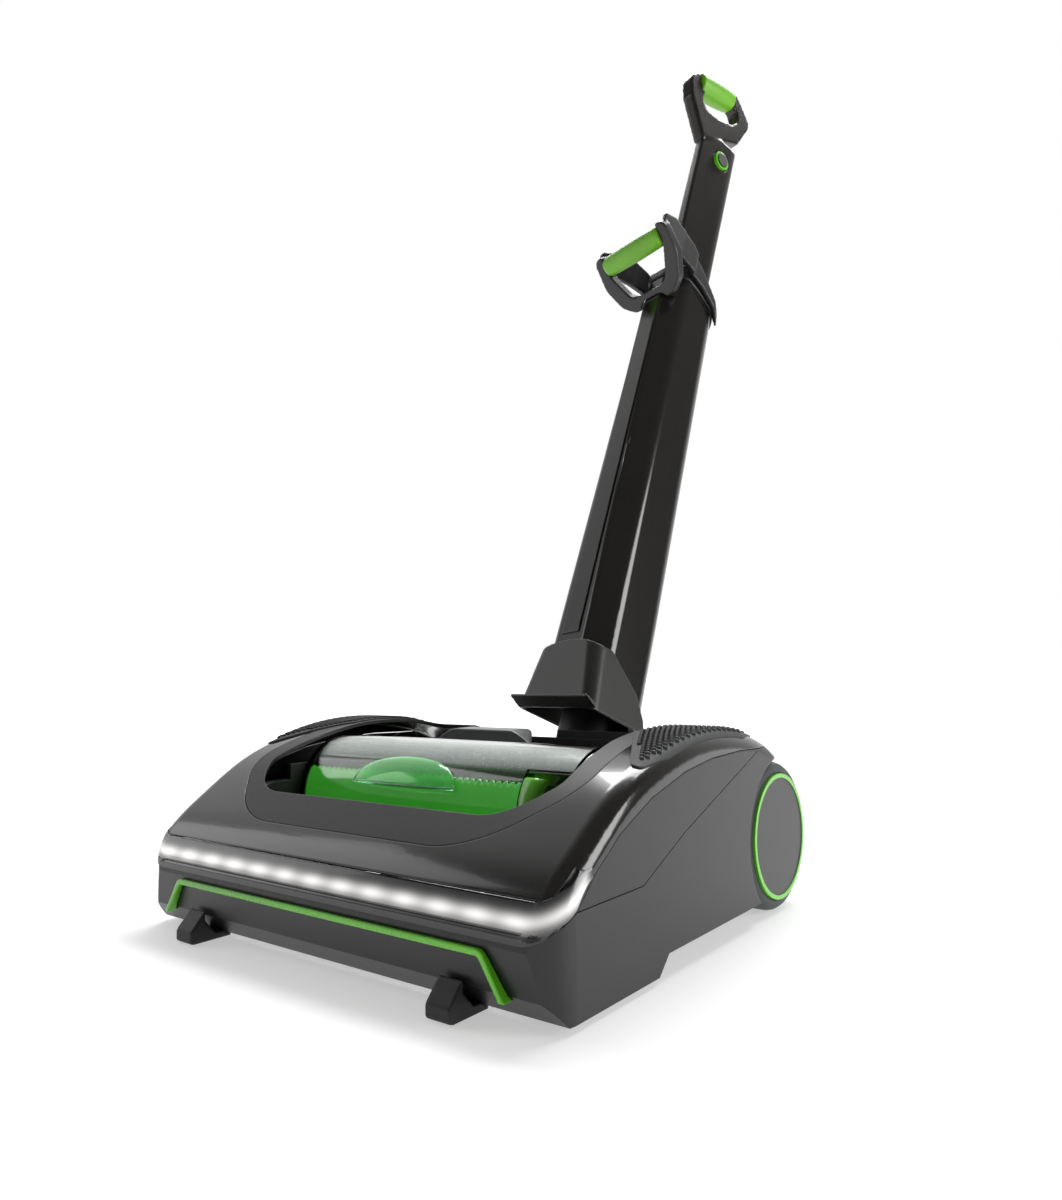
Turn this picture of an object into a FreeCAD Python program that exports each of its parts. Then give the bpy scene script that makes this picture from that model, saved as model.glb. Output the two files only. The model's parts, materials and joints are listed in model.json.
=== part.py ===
"""Cordless upright vacuum cleaner: floor head, tilting and steering neck, body and telescopic handle.

The machine frame used while building has X across, Y towards the rear and Z up, with the ground at
Z = 0. Pieces of the body are drawn along their own upright axis, which starts at the neck pivot, and
their placement then twists and leans them. Every placement also carries the machine frame to the
origin, which is the middle of the bounding box at ground level.
"""
import FreeCAD, Part
import math
import os
import re

V3 = FreeCAD.Vector

SIZES = {
    # floor head
    "head_half": 155.0, "head_wall": 2.5, "corner_round": 18.0,
    "wheel_y": 88.0, "wheel_radius": 45.4, "wheel_in": 131.0, "wheel_out": 152.0,
    "ring_radius": 38.2, "ring_width": 2.6, "tyre_inner": 38.6, "arch_gap": 3.4,
    "axle_radius": 5.0, "fit_gap": 0.05,
    # brush bar and its drive
    "brush_y": -120.0, "brush_z": 27.0, "brush_core": 15.0, "brush_tip": 22.5, "brush_half": 126.0,
    "motor_y": -72.0, "motor_z": 16.8, "motor_radius": 10.4, "pulley_small": 6.0, "pulley_large": 12.0,
    "belt_thick": 1.6, "belt_width": 8.0,
    # suction fan
    "fan_y": 82.0, "fan_z": 64.0, "fan_radius": 25.0,
    # dirt bin
    "bin_y": -36.0, "bin_z": 70.5, "bin_radius": 38.0, "bin_wall": 2.0, "bin_left": -108.2,
    "bin_right": 72.0, "hood_right": 103.0, "filter_radius": 20.0,
    # neck and body
    "pivot_y": 75.4, "pivot_z": 56.6, "lean": 23.9, "twist": -13.3, "barrel_radius": 23.0,
    "stub_radius": 19.0, "body_top": 452.0, "body_low": 62.0, "body_wall": 2.4,
    "cowl_top": 106.0,
    # handle
    "shaft_nose": 5.2, "shaft_half": 8.9, "shaft_front": -19.6, "shaft_rear": 27.4, "shaft_low": 192.0,
    "grip_radius": 9.5, "loop_half": 6.5, "seam_gap": 0.5,
    # middle of the bounding box in the machine frame
    "middle_y": 122.528,
}

doc = FreeCAD.newDocument("upright_vacuum")
sheet = doc.addObject("Spreadsheet::Sheet", "Sizes")
for row, (alias, value) in enumerate(SIZES.items(), start=1):
    sheet.set("A%d" % row, alias)
    sheet.set("B%d" % row, str(value))
    sheet.setAlias("B%d" % row, alias)
doc.recompute()


def cell(alias):
    """Value of one driving dimension."""
    return float(sheet.get(alias))


def with_cells(text):
    """Expression in which every alias stands for its cell."""
    return re.sub(r"\b(%s)\b" % "|".join(SIZES), r"Sizes.\1", text)


def bind(obj, prop, text):
    """Bind a property to an expression of cells."""
    obj.setExpression(prop, with_cells(str(text)))


def worth(text):
    """Value of an expression of cells."""
    return float(sheet.evalExpression(with_cells(str(text))))


NODES = []
HEAD_PLACE = FreeCAD.Placement(V3(0, -cell("middle_y"), 0), FreeCAD.Rotation())
LEAN = FreeCAD.Rotation(V3(1, 0, 0), -cell("lean"))
TWIST = FreeCAD.Rotation(V3(0, 0, 1), cell("twist"))
PIVOT = V3(0, cell("pivot_y") - cell("middle_y"), cell("pivot_z"))
NECK_PLACE = FreeCAD.Placement(PIVOT, LEAN)
BODY_PLACE = FreeCAD.Placement(PIVOT, LEAN.multiply(TWIST))


def keep(obj, label, place):
    """Make an object one of the machine's pieces."""
    obj.Label = label
    obj.Placement = place.multiply(obj.Placement)
    NODES.append(obj)
    return obj


# ---------------------------------------------------------------- drawing helpers

def rounded(points):
    """Closed outline through (u, v) or (u, v, radius) corners as lines and tangent arcs."""
    corners = [(V3(p[0], p[1], 0), p[2] if len(p) > 2 else 0.0) for p in points]
    starts, ends, mids = [], [], []
    for i, (here, radius) in enumerate(corners):
        before = (corners[i - 1][0] - here).normalize()
        after = (corners[(i + 1) % len(corners)][0] - here).normalize()
        if radius <= 0:
            starts.append(here)
            ends.append(here)
            mids.append(None)
            continue
        half = before.getAngle(after) / 2
        run = radius / math.tan(half)
        axis = (before + after).normalize()
        centre = here + axis * (radius / math.sin(half))
        starts.append(here + before * run)
        ends.append(here + after * run)
        mids.append(centre - axis * radius)
    edges = []
    for i in range(len(corners)):
        if mids[i] is not None:
            edges.append(Part.Arc(starts[i], mids[i], ends[i]))
        following = starts[(i + 1) % len(corners)]
        if ends[i].distanceToPoint(following) > 1e-6:
            edges.append(Part.LineSegment(ends[i], following))
    return edges


def spline_outline(curve_points, line_points):
    """Closed outline of one smooth curve and the straight lines that close it."""
    curve = Part.BSplineCurve()
    curve.interpolate([V3(u, v, 0) for u, v in curve_points])
    chain = [curve_points[-1]] + list(line_points) + [curve_points[0]]
    lines = [Part.LineSegment(V3(a[0], a[1], 0), V3(b[0], b[1], 0)) for a, b in zip(chain, chain[1:])]
    return [curve] + lines


def new_body(name):
    return doc.addObject("PartDesign::Body", name)


def sketch_on(body, role, edges, offset=0.0, name="Sketch"):
    """Sketch on one of the body's own origin planes, moved along the plane's normal."""
    plane = [f for f in body.Origin.OriginFeatures if f.Role == role][0]
    sketch = body.newObject("Sketcher::SketchObject", name)
    sketch.AttachmentSupport = [(plane, "")]
    sketch.MapMode = "FlatFace"
    sketch.AttachmentOffset = FreeCAD.Placement(V3(0, 0, offset), FreeCAD.Rotation())
    for edge in edges:
        sketch.addGeometry(edge, False)
    return sketch


def pad(body, role, edges, length, offset=0.0, both=False):
    """Pad an outline; length is a number or an expression, both sides of the plane if asked."""
    sketch = sketch_on(body, role, edges, offset)
    feature = body.newObject("PartDesign::Pad", "Pad")
    feature.Profile = sketch
    finish_length(feature, length, both)
    return feature


def finish_length(feature, length, both):
    if both:
        feature.SideType = "Symmetric"
    if isinstance(length, str):
        bind(feature, "Length", length)
    else:
        feature.Length = length


ALONG_X = FreeCAD.Rotation(V3(0, 1, 0), 90)


def rod(name, radius, length, low_x, y, z):
    """Cylinder along X from low_x; radius, length and place may be expressions."""
    obj = doc.addObject("Part::Cylinder", name)
    bind(obj, "Radius", str(radius))
    bind(obj, "Height", str(length))
    obj.Placement = FreeCAD.Placement(V3(worth(low_x), worth(y), worth(z)), ALONG_X)
    return obj


def post(name, radius, height, x, y, low_z):
    """Cylinder along Z."""
    obj = doc.addObject("Part::Cylinder", name)
    bind(obj, "Radius", str(radius))
    bind(obj, "Height", str(height))
    obj.Placement.Base = V3(x, y, low_z)
    return obj


def block(name, low, high):
    """Box between two corners."""
    obj = doc.addObject("Part::Box", name)
    for prop, a, b in zip(("Length", "Width", "Height"), low, high):
        setattr(obj, prop, b - a)
    obj.Placement.Base = V3(*low)
    return obj


def cut(name, base, tool):
    obj = doc.addObject("Part::Cut", name)
    obj.Base = base
    obj.Tool = tool
    return obj


def common(name, one, other):
    obj = doc.addObject("Part::MultiCommon", name)
    obj.Shapes = [one, other]
    return obj


def fuse(name, *shapes):
    obj = doc.addObject("Part::MultiFuse", name)
    obj.Shapes = list(shapes)
    return obj


def group(name, *shapes):
    """Separate solids that share one node."""
    obj = doc.addObject("Part::Compound", name)
    obj.Links = list(shapes)
    return obj


def tube(name, outer, inner, length, low_x, y, z):
    """Hollow cylinder along X."""
    return cut(name, rod(name + "_outer", outer, length, low_x, y, z),
               rod(name + "_inner", inner, "(%s) + 2" % length, "(%s) - 1" % low_x, y, z))


def slab(name, role, edges, length, offset=0.0, both=False):
    """Body made of one pad."""
    body = new_body(name)
    pad(body, role, edges, length, offset, both)
    return body


# ---------------------------------------------------------------- floor head envelope

BACK = [(-153, 44), (-145, 57), (-121, 77), (-93, 95), (-60, 107.5), (-27, 114.5), (15, 116), (50, 111.5),
        (84, 100), (110, 80)]
UNDER = [(120, 58), (120, 20), (113, 12), (-58, 12), (-68, 3), (-142, 3), (-152, 14), (-154.5, 34)]


def inset(points, amount):
    """Outline points moved inwards along their mean normals, for a clockwise outline."""
    moved = []
    for i, here in enumerate(points):
        before, after = points[i - 1], points[(i + 1) % len(points)]
        along = V3(after[0] - before[0], after[1] - before[1], 0).normalize()
        moved.append((here[0] + along.y * amount, here[1] - along.x * amount))
    return moved


def envelope(name, amount):
    """The head's outer form, or its hollow when the amount is the wall."""
    points = inset(BACK + UNDER, amount)
    profile = slab(name + "_profile", "YZ_Plane",
                   spline_outline(points[:len(BACK)], points[len(BACK):]),
                   "2 * (head_half - %s)" % amount, both=True)
    half = cell("head_half") - amount
    round_front = cell("corner_round") - amount
    plan = slab(name + "_plan", "XY_Plane",
                rounded([(-half, -155 + amount, round_front), (half, -155 + amount, round_front),
                         (half, 130), (-half, 130)]), 130.0)
    front_cut = common(name + "_form", profile, plan)
    return front_cut


def side_round(name, solid, radius):
    """Round the long top edges between the crown and the sides."""
    doc.recompute()
    edges = []
    for number, edge in enumerate(solid.Shape.Edges, start=1):
        box = edge.BoundBox
        if box.XLength < 0.01 and box.YLength > 150 and box.ZMax > 90:
            edges.append((number, radius, radius))
    obj = doc.addObject("Part::Fillet", name)
    obj.Base = solid
    obj.Edges = edges
    doc.recompute()
    return obj


outer = side_round("head_outer", envelope("outer", 0.0), 11.0)
inner = side_round("head_inner", envelope("inner", cell("head_wall")), 8.5)

SEAM = [(-136, 49), (-81, 49), (-40, 67), (58, 102)]
CREASE = [(58, 102), (30, 103), (-5, 102), (-36, 98), (-71, 89), (-101, 76), (-122, 62)]
FAR = 170.0


def strip(points, width):
    """Closed outline of a band of this width along a chain of points."""
    left, right = [], []
    for i, here in enumerate(points):
        before = points[max(i - 1, 0)]
        after = points[min(i + 1, len(points) - 1)]
        along = V3(after[0] - before[0], after[1] - before[1], 0).normalize()
        left.append((here[0] - along.y * width / 2, here[1] + along.x * width / 2))
        right.append((here[0] + along.y * width / 2, here[1] - along.x * width / 2))
    return left + right[::-1]


def yz_region(name, points):
    return slab(name, "YZ_Plane", rounded(points), 2 * FAR, both=True)


LENS_EDGE = [(-172, 41), (-152, 41), (-136, 49), (-122, 62), (-131, 66), (-147, 54), (-172, 54)]
REAR_EDGE = [(58, 102), (70, 102), (84, 90), (98, 84), (98, 130)]
SEAM_LINES = [SEAM, CREASE, LENS_EDGE, REAR_EDGE, [(98, 84), (98, -5)]]
gaps = [yz_region("seam_%d" % i, strip(line, cell("seam_gap"))) for i, line in enumerate(SEAM_LINES)]
shell = cut("head_shell", outer, fuse("shell_tools", inner, *gaps))

low_region = yz_region("low_region", [(-172, -5), (-172, 41), (-152, 41)] + SEAM + [(70, 102), (84, 90),
                                                                                   (98, 84), (98, -5)])
leaf_region = yz_region("leaf_region", SEAM[:-1] + CREASE)
lens_region = yz_region("lens_region", LENS_EDGE)
top_region = yz_region("top_region", [(-172, 54), (-147, 54), (-131, 66)] + CREASE[::-1]
                       + [(70, 102), (84, 90), (98, 84), (98, 130), (-172, 130)])
rear_region = yz_region("rear_region", [(98, -5), (130, -5), (130, 130), (98, 130)])

arch = [rod("arch_%s" % side, "wheel_radius + arch_gap", 40, low, "wheel_y", "wheel_radius")
        for side, low in (("left", -168), ("right", 128))]
well_space = block("well_space", (-72, 50, 19), (72, 140, 140))


def mirrored(points):
    """Outline points and their mirror image in X."""
    return points + [(-p[0],) + tuple(p[1:]) for p in points[::-1]]


def surround_outline(amount):
    """Rounded U form of the frame round the bin, drawn in by an amount."""
    return rounded(mirrored([(90 - amount, -134.5 + amount, 70), (131.5 - amount, -96, 34),
                             (127 - amount, -26, 12), (114.5 - amount, -20, 8), (114.5 - amount, 62, 3)]))


surround_hole = slab("surround_hole", "XY_Plane", surround_outline(0.0), 110.0, offset=30.0)
surround_zone = slab("surround_zone", "XY_Plane", surround_outline(cell("seam_gap")), 110.0, offset=30.0)
OPENING = mirrored([(98, -115.5, 40), (117, -92, 16), (112.5, -40, 40), (111, 58, 6)])
bin_opening = slab("bin_opening", "XY_Plane", rounded(OPENING), 110.0, offset=30.0)
cutters = fuse("head_cutters", arch[0], arch[1], well_space)

# ---------------------------------------------------------------- floor head casings

# cross-head screws under the chassis and the neck well
SCREW_PLACES = [(-140, -40), (140, -40), (-60, 20), (60, 20), (-110, -58), (110, -58)]
screws = [fuse("screw_%d" % i, post("screw_head_%d" % i, 3.6, 2.0, x, y, 12.5 if y > -50 else 3.5),
               post("screw_shank_%d" % i, 1.8, 12.0, x, y, 12.5 if y > -50 else 3.5))
          for i, (x, y) in enumerate(SCREW_PLACES)]
keep(group("screw_set", *screws), "case_screws", HEAD_PLACE)

sole_mouth = slab("sole_mouth", "XY_Plane", rounded([(-128, -145, 4), (128, -145, 4), (128, -96, 4),
                                                     (-128, -96, 4)]), 12.0, offset=-2.0)
sole_zone = block("sole_zone", (-149, -141, 0), (149, -69, 6))
wheel_walls = [block("wheel_wall_%s" % side, (low, 38, 13), (low + 3, 119, 88))
               for side, low in (("left", -127), ("right", 124))]
walls_inside = common("walls_inside", fuse("wall_pair", *wheel_walls), inner)
low_shell = common("low_shell", shell, low_region)
chassis_raw = fuse("chassis_raw", low_shell, walls_inside)
chassis_open = cut("chassis_open", chassis_raw, fuse("chassis_tools", cutters, sole_zone))
axle_holes = [rod("axle_hole_%s" % side, "axle_radius + fit_gap", 8, low, "wheel_y", "wheel_radius")
              for side, low in (("left", -129), ("right", 121))]
screw_room = [post("screw_room_%d" % i, 3.8, 20.0, x, y, 1.0 if y < -50 else 9.0)
              for i, (x, y) in enumerate(SCREW_PLACES)]
keep(cut("base_chassis_cut", chassis_open, fuse("chassis_holes", *(axle_holes + screw_room))),
     "base_chassis", HEAD_PLACE)

leaf_shell = cut("leaf_shell", common("leaf_walls", shell, leaf_region), cutters)
keep(leaf_shell, "side_panels", HEAD_PLACE)

keep(common("light_lens_solid", shell, lens_region), "light_lens", HEAD_PLACE)

top_shell = cut("top_shell", common("top_walls", shell, top_region), cutters)
keep(cut("top_cover_solid", top_shell, surround_hole), "top_cover", HEAD_PLACE)
keep(cut("bin_surround_solid", common("surround_walls", top_shell, surround_zone), bin_opening),
     "bin_surround", HEAD_PLACE)

rear_shell = cut("rear_shell", common("rear_walls", shell, rear_region), cutters)
keep(rear_shell, "rear_cover", HEAD_PLACE)

well_out = block("well_out", (-75, 47, 14.6), (75, 119, 104))
well_in = block("well_in", (-72, 50, 17.6), (72, 130, 130))
bracket_plates = [block("bracket_%d" % i, (low, cell("pivot_y") - 12, 16),
                        (low + 10, cell("pivot_y") + 12, cell("pivot_z") + 10))
                  for i, low in enumerate((-73, 63))]
well_solid = fuse("well_with_brackets", cut("well_tray", well_out, well_in), *bracket_plates)
well_rim = block("well_rim", (12, 47.1, 98), (75, 50, 110.5))
well_solid = fuse("well_with_rim", well_solid, well_rim)
well_bored = cut("well_bored", well_solid, rod("pin_bore", 5.0, 142, -71, "pivot_y", "pivot_z"))
keep(common("neck_well_solid", well_bored, inner), "neck_well", HEAD_PLACE)

# tray that the bin lies in, and the sunken deck behind it
cradle_block = fuse("cradle_block", block("cradle_rear", (-116, -80, 27.8), (109, 3.5, 92)),
                    block("cradle_shelf", (-122, -122, 58), (122, -78, 82)))
cradle_hollow = slab("cradle_hollow", "XY_Plane", rounded(mirrored([(96, -116.5, 38), (113, -92, 14),
                                                                    (112, 10)])), 80.0, offset=62.0)
cradle_round = rod("cradle_round", "bin_radius + 1.5", 218, -112, "bin_y", "bin_z")
keep(cut("bin_cradle_solid", common("cradle_in", cradle_block, inner),
         fuse("cradle_tools", cradle_hollow, cradle_round)), "bin_cradle", HEAD_PLACE)
deck_block = block("deck_block", (-116, 4, 96), (116, 63, 99))
deck_holes = fuse("deck_holes", block("deck_well", (-75.2, 46.8, 90), (75.2, 70, 110)),
                  block("button_hole", (-70.5, 11.5, 90), (16.5, 32.5, 110)))
cup_room = fuse("cup_room", block("cup_in", (-33, 11.5, 87.7), (-21, 32.5, 97)),
                block("cup_notch", (-40, 11.5, 92.6), (-14, 32.5, 97)))
spring_cup = cut("spring_cup", block("cup_out", (-36, 9, 84.7), (-18, 35, 96)), cup_room)
deck_plate = cut("deck_plate", common("deck_in", deck_block, inner), deck_holes)
keep(fuse("sunken_deck_solid", deck_plate, spring_cup), "sunken_deck", HEAD_PLACE)

bearing_hole = rod("bearing_hole", 8.0, 300, -150, "brush_y", "brush_z")
holders = [block("bearing_holder_" + side, (low, -131, 5), (low + 6, -109, 39))
           for side, low in (("left", -144.5), ("right", 129.5))]
sole_blank = cut("sole_blank", common("sole_in", outer, sole_zone), sole_mouth)
keep(cut("sole_plate_solid", fuse("sole_with_holders", sole_blank, *holders), bearing_hole),
     "sole_plate", HEAD_PLACE)

trim = slab("front_trim_body", "XZ_Plane",
            rounded([(-131, 12), (-118, 32.5, 5), (118, 32.5, 5), (131, 12), (127.6, 12),
                     (116.1, 29.3, 3), (-116.1, 29.3, 3), (-127.6, 12)]), 7.0, offset=150.0)
keep(cut("front_trim_solid", trim, outer), "front_trim", HEAD_PLACE)

feet = []
for side in (-1, 1):
    foot = slab("foot_%s" % ("left" if side < 0 else "right"), "YZ_Plane",
                rounded([(-164, 0, 2), (-164, 7, 2), (-155, 17), (-155, 12), (-148, 4), (-138, 4),
                         (-138, 0)]), 15.0, offset=99.0 * side, both=True)
    feet.append(cut(foot.Name + "_cut", foot, outer))
keep(group("front_feet_solid", *feet), "front_feet", HEAD_PLACE)

pads = []
PAD_PLAN = [(116, -22, 6), (139, -64, 8), (149, -80, 4), (153, -50, 20), (153, 40, 12), (146, 66, 8),
            (124, 72, 10), (116, 34, 14)]
for side in (-1, 1):
    name = "grip_pad_left" if side < 0 else "grip_pad_right"
    points = [(side * x, y, r) for x, y, r in PAD_PLAN]
    zone = slab(name + "_zone", "XY_Plane", rounded(points if side > 0 else points[::-1]), 60.0, offset=80.0)
    lift = group(name + "_lifted", outer)
    lift.Placement = FreeCAD.Placement(V3(0, 0, 1.0), FreeCAD.Rotation())
    skin = cut(name + "_skin", lift, outer)
    pads.append(common(name + "_solid", skin, zone))
keep(group("pad_pair", *pads), "grip_pads", HEAD_PLACE)

led_strip = block("led_strip", (-134, -145, 44), (134, -143.4, 51))
chips = [block("led_chip_%d" % i, (x - 2.5, -146.2, 45.5), (x + 2.5, -145, 50.5))
         for i, x in enumerate((-105, -35, 35, 105))]
keep(fuse("led_board_solid", led_strip, *chips), "led_board", HEAD_PLACE)

# ---------------------------------------------------------------- wheels

axles = []
for side, name in ((-1, "left"), (1, "right")):
    low = "wheel_in" if side > 0 else "-wheel_out"
    keep(tube("tyre_" + name, "wheel_radius", "tyre_inner", "wheel_out - wheel_in", low,
              "wheel_y", "wheel_radius"), "wheel_tyre_" + name, HEAD_PLACE)
    hub_low = "wheel_in + 1" if side > 0 else "-wheel_out + 1.5"
    hub = rod("hub_" + name, "tyre_inner", "wheel_out - wheel_in - 2.5", hub_low, "wheel_y", "wheel_radius")
    cap_low = "wheel_out - 1.5" if side > 0 else "-wheel_out - 1"
    cap = rod("cap_" + name, "ring_radius - ring_width", 2.5, cap_low, "wheel_y", "wheel_radius")
    bore = rod("hub_bore_" + name, "axle_radius + fit_gap", 14, "wheel_in" if side > 0 else "-wheel_in - 14",
               "wheel_y", "wheel_radius")
    hub_form = fuse("hub_with_cap_" + name, hub, cap)
    keep(cut("hub_cut_" + name, hub_form, bore), "wheel_hub_" + name, HEAD_PLACE)
    ring_low = "wheel_out - 1.5" if side > 0 else "-wheel_out - 1.5"
    keep(tube("ring_" + name, "ring_radius", "ring_radius - ring_width", 3.0, ring_low,
              "wheel_y", "wheel_radius"), "wheel_ring_" + name, HEAD_PLACE)
    axles.append(rod("axle_" + name, "axle_radius", 27, 116 if side > 0 else -143, "wheel_y", "wheel_radius"))
keep(group("axle_pair", *axles), "wheel_axles", HEAD_PLACE)

# ---------------------------------------------------------------- brush bar and drive

core = tube("brush_core_tube", "brush_core", "4.05", "2 * brush_half", "-brush_half", "brush_y", "brush_z")
keep(core, "brush_roller", HEAD_PLACE)
keep(tube("bristle_sleeve", "brush_tip", "brush_core", "2 * brush_half - 12", "-brush_half + 6",
          "brush_y", "brush_z"), "brush_bristles", HEAD_PLACE)
keep(rod("brush_shaft", 4.0, 294, -147, "brush_y", "brush_z"), "brush_axle", HEAD_PLACE)
keep(tube("large_pulley", "pulley_large", "4.05", "belt_width + 2", -137.5, "brush_y", "brush_z"),
     "brush_pulley", HEAD_PLACE)
bearings = [tube("bearing_" + side, 8.0, 4.05, 5, low, "brush_y", "brush_z")
            for side, low in (("left", -144), ("right", 130))]
keep(group("bearing_pair", *bearings), "brush_bearings", HEAD_PLACE)
can = rod("brush_motor_can", "motor_radius", 58, -122, "motor_y", "motor_z")
keep(can, "brush_motor", HEAD_PLACE)
small = fuse("motor_pulley_solid", rod("small_pulley", "pulley_small", "belt_width + 2", -137.5,
                                       "motor_y", "motor_z"),
             rod("motor_tip", 2.0, 5.5, -128, "motor_y", "motor_z"))
keep(small, "motor_pulley", HEAD_PLACE)


def around(centre, radius, turn):
    """Point at an angle on a circle."""
    return centre + V3(math.cos(turn), math.sin(turn), 0) * radius


def belt(name, centre_a, radius_a, centre_b, radius_b, low_x):
    """Flat belt round two pulleys, as the outline of its outside less that of its inside."""
    loops = []
    for extra in (cell("belt_thick") + 0.3, 0.3):
        a, b = V3(*centre_a, 0), V3(*centre_b, 0)
        ra, rb = radius_a + extra, radius_b + extra
        along = b - a
        turn = math.acos((ra - rb) / along.Length)
        base = math.atan2(along.y, along.x)
        up_a, up_b = around(a, ra, base + turn), around(b, rb, base + turn)
        low_a, low_b = around(a, ra, base - turn), around(b, rb, base - turn)
        edges = [Part.LineSegment(up_a, up_b), Part.Arc(up_b, around(b, rb, base), low_b),
                 Part.LineSegment(low_b, low_a), Part.Arc(low_a, around(a, ra, base + math.pi), up_a)]
        loops.append(slab("%s_%d" % (name, len(loops)), "YZ_Plane", edges, "belt_width",
                          offset=low_x))
    return cut(name, *loops)


keep(belt("belt_loop", (cell("brush_y"), cell("brush_z")), cell("pulley_large"),
          (cell("motor_y"), cell("motor_z")), cell("pulley_small"), -136.5), "drive_belt", HEAD_PLACE)

# ---------------------------------------------------------------- suction fan and board

keep(rod("suction_can", 20.0, 18, 97, "fan_y", "fan_z"), "suction_motor", HEAD_PLACE)
scroll = cut("scroll", rod("scroll_out", "fan_radius", 20, 77, "fan_y", "fan_z"),
             fuse("scroll_in", rod("scroll_space", "fan_radius - 2", 16, 79, "fan_y", "fan_z"),
                  rod("scroll_eye", 9.0, 6, 74, "fan_y", "fan_z"),
                  rod("scroll_pass", 4.0, 6, 94, "fan_y", "fan_z")))
keep(scroll, "fan_housing", HEAD_PLACE)
vane_disc = rod("vane_disc", "fan_radius - 4", 2.0, 91, "fan_y", "fan_z")
vanes = []
for i in range(7):
    vane = doc.addObject("Part::Box", "vane_%d" % i)
    vane.Length, vane.Width, vane.Height = 9.5, 1.2, 13.0
    turn = FreeCAD.Rotation(V3(1, 0, 0), 360.0 * i / 7)
    middle = V3(82, cell("fan_y"), cell("fan_z"))
    vane.Placement = FreeCAD.Placement(middle + turn.multVec(V3(0, -0.6, 7.0)), turn)
    vanes.append(vane)
hub_cone = rod("impeller_hub", 8.0, 11, 82, "fan_y", "fan_z")
keep(fuse("impeller_solid", vane_disc, hub_cone, *vanes), "impeller", HEAD_PLACE)
board = block("board_plate", (-120, 52, 24), (-80, 112, 25.6))
chips = [block("board_chip_%d" % i, (-114 + 16 * i, 60, 25.6), (-104 + 16 * i, 72, 28.6)) for i in range(2)]
keep(fuse("control_board_solid", board, *chips), "control_board", HEAD_PLACE)

# ---------------------------------------------------------------- dirt bin

bin_length = "bin_right - bin_left"
HOOD_TILT = [(-36, 70.5), (-90, 124.5), (10, 160), (10, 70.5)]
clear = tube("bin_clear", "bin_radius", "bin_radius - bin_wall", bin_length, "bin_left", "bin_y", "bin_z")
hood_tube = tube("bin_hood_tube", "bin_radius", "bin_radius - bin_wall", "hood_right - bin_right",
                 "bin_right", "bin_y", "bin_z")
hood = common("bin_hood", hood_tube, yz_region("hood_zone", HOOD_TILT))
keep(fuse("bin_clear_closed", clear, hood,
          rod("bin_back_disc", "bin_radius", 3.0, "bin_left - 3", "bin_y", "bin_z")), "bin_tube", HEAD_PLACE)
cap_plug = rod("bin_door_plug", "bin_radius - bin_wall - 0.2", 13.0, "bin_right + 0.2", "bin_y", "bin_z")
cap_rim = cut("bin_door_front",
              rod("bin_door_rim", "bin_radius + 1", 13.0, "bin_right + 0.2", "bin_y", "bin_z"),
              yz_region("rim_zone", [(-37, 70.1), (-91, 124.1), (10, 160), (10, 70.1)]))
keep(fuse("bin_door_disc", cap_plug, cap_rim), "bin_end_cap", HEAD_PLACE)
keep(tube("filter_sleeve", "filter_radius", "filter_radius - 2.5", "bin_right - bin_left - 4",
          "bin_left + 2", "bin_y", "bin_z"), "filter_cage", HEAD_PLACE)
keep(rod("filter_foam", "filter_radius - 3", "bin_right - bin_left - 8", "bin_left + 4", "bin_y", "bin_z"),
     "foam_filter", HEAD_PLACE)
LIP_FORM = [(46.8, 17), (46.2, 25), (44.4, 33), (41.8, 41), (40.2, 47)]


def bin_arc(drawn_in):
    """Points of the lip's section, about the bin's axis, as angles above the front."""
    return [(cell("bin_y") - (r - drawn_in) * math.cos(math.radians(turn)),
             cell("bin_z") + (r - drawn_in) * math.sin(math.radians(turn))) for r, turn in LIP_FORM]


lip_band = slab("lip_band", "YZ_Plane", rounded(bin_arc(0.0) + bin_arc(2.0)[::-1]), 84.0, offset=-59.0)
lip_zone = slab("lip_zone", "YZ_Plane", rounded(bin_arc(1.0) + bin_arc(12.0)[::-1]), 84.0, offset=-59.0)
lip_room = rod("lip_room", "bin_radius", 100, -70, "bin_y", "bin_z")
lip_sides = []
for i, low in enumerate((-59, 22.8)):
    web = block("lip_web_%d" % i, (low, -90, 60), (low + 2.2, -40, 120))
    lip_sides.append(cut("lip_cheek_%d" % i, common("lip_end_%d" % i, web, lip_zone), lip_room))
keep(fuse("bin_lip_solid", lip_band, *lip_sides), "bin_handle", HEAD_PLACE)

release_plan = slab("release_plan", "XY_Plane", rounded([(-70, 12), (-57, 32, 8), (2, 32, 8), (16, 12)]),
                    15.0, offset=96.0)
release_side = slab("release_side", "XZ_Plane",
                    rounded([(-72, 90), (-72, 101), (-55, 111, 18), (1, 111, 18), (18, 101), (18, 90)]),
                    100.0, both=True)
keep(common("release_body", release_plan, release_side), "bin_release_button", HEAD_PLACE)
keep(post("release_spring_wire", 3.0, 8.0, -27, 22, 87.7), "release_spring", HEAD_PLACE)

# ---------------------------------------------------------------- neck

keep(rod("pin_rod", 5.0, 142, -71, "pivot_y", "pivot_z"), "neck_pin", HEAD_PLACE)
ribs = [rod("rib_%d" % i, "barrel_radius", 4.0, -44 + 8 * i, 0, 0) for i in range(11)]
barrel = fuse("barrel", rod("barrel_core", "barrel_radius - 2", 92, -46, 0, 0), *ribs)
stub = post("stub", "stub_radius", 86, 0, 0, 16)
barrel_bore = rod("barrel_bore", "5.0 + fit_gap", 100, -50, 0, 0)
duct = post("duct", "stub_radius - 4", 100, 0, 0, 9)
keep(cut("neck_yoke_solid", fuse("neck_joined", barrel, stub), fuse("neck_bores", barrel_bore, duct)),
     "neck_yoke", NECK_PLACE)

# ---------------------------------------------------------------- body


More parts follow.
